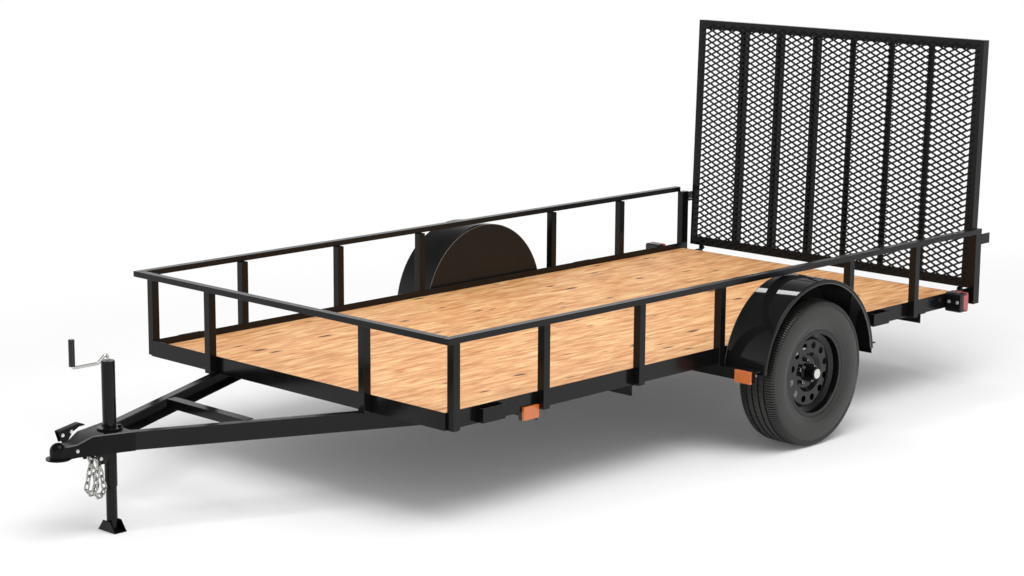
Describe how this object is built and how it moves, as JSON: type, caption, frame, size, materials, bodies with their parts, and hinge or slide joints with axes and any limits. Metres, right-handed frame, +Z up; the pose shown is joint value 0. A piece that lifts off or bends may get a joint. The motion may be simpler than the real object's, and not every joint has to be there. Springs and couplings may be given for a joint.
{
  "type": "utility trailer",
  "caption": "Single-axle open utility trailer with a plank deck, railed sides, round fenders, a screw jack, an A-frame tongue and a mesh ramp gate.",
  "frame": {"origin": "on the ground, under the middle of the whole trailer's box", "axes": "+X towards the hitch, +Y to the trailer's left side, +Z up"},
  "size_m": [5.1754, 2.431, 1.7721],
  "materials": {
    "frame_paint": "gloss",
    "rail_paint": "gloss",
    "fender_paint": "gloss",
    "gate_paint": "gloss",
    "mesh_paint": "satin",
    "coupler_paint": "gloss",
    "jack_paint": "gloss",
    "rim_paint": "gloss",
    "hub_paint": "gloss",
    "spring_steel": "satin",
    "deck_wood": "satin",
    "tyre": "matte",
    "nut_chrome": "gloss",
    "plug_zinc": "satin",
    "zinc": "satin",
    "grip_plastic": "matte",
    "lamp_plastic": "matte",
    "amber_lens": "gloss",
    "red_lens": "gloss"
  },
  "bodies": {
    "chassis": {"frame_side_left": "frame_paint", "frame_side_right": "frame_paint", "frame_front": "frame_paint", "frame_rear": "frame_paint", "deck_planks": "deck_wood", "cross_members": "frame_paint", "posts_left": "frame_paint", "posts_right": "frame_paint", "posts_front": "frame_paint", "rail_left": "rail_paint", "rail_right": "rail_paint", "rail_front": "rail_paint", "stake_pockets": "frame_paint", "fender_left": "fender_paint", "fender_right": "fender_paint", "axle": "frame_paint", "spring_left": "spring_steel", "spring_right": "spring_steel", "spring_hangers": "frame_paint", "tongue_left": "frame_paint", "tongue_right": "frame_paint", "tongue_brace": "frame_paint", "coupler": "coupler_paint", "coupler_latch": "coupler_paint", "jack_tube": "jack_paint", "jack_crank": "zinc", "jack_grip": "grip_plastic", "hinge_lugs": "frame_paint", "latch_brackets": "frame_paint", "marker_bases": "lamp_plastic", "marker_lenses": "amber_lens", "tail_lamp_housings": "lamp_plastic", "tail_lamp_lenses": "red_lens", "chain_bracket": "frame_paint", "safety_chains": "zinc"},
    "wheel_left": {"tyre_left": "tyre", "rim_left": "rim_paint", "hub_left": "hub_paint", "lug_nuts_left": "nut_chrome", "hub_plug_left": "plug_zinc"},
    "wheel_right": {"tyre_right": "tyre", "rim_right": "rim_paint", "hub_right": "hub_paint", "lug_nuts_right": "nut_chrome", "hub_plug_right": "plug_zinc"},
    "gate": {"gate_frame": "gate_paint", "gate_bars": "gate_paint", "gate_mesh_rising": "mesh_paint", "gate_mesh_falling": "mesh_paint", "gate_hinge_pins": "gate_paint", "latch_bolts": "zinc"},
    "jack_leg": {"jack_leg": "jack_paint", "jack_foot": "jack_paint"}
  },
  "joints": [
    {"name": "wheel_left_spin", "type": "hinge", "parent": "chassis", "child": "wheel_left", "pos_m": [-0.82526, 1.113, 0.344], "axis": [0, 1, 0], "continuous": true},
    {"name": "wheel_right_spin", "type": "hinge", "parent": "chassis", "child": "wheel_right", "pos_m": [-0.82526, -1.113, 0.344], "axis": [0, 1, 0], "continuous": true},
    {"name": "gate_swing", "type": "hinge", "parent": "chassis", "child": "gate", "pos_m": [-2.52026, 0, 0.47], "axis": [0, -1, 0], "range_deg": [0, 108]},
    {"name": "jack_slide", "type": "slide", "parent": "chassis", "child": "jack_leg", "axis": [0, 0, 1], "range_m": [-0.1, 0.13]}
  ]
}
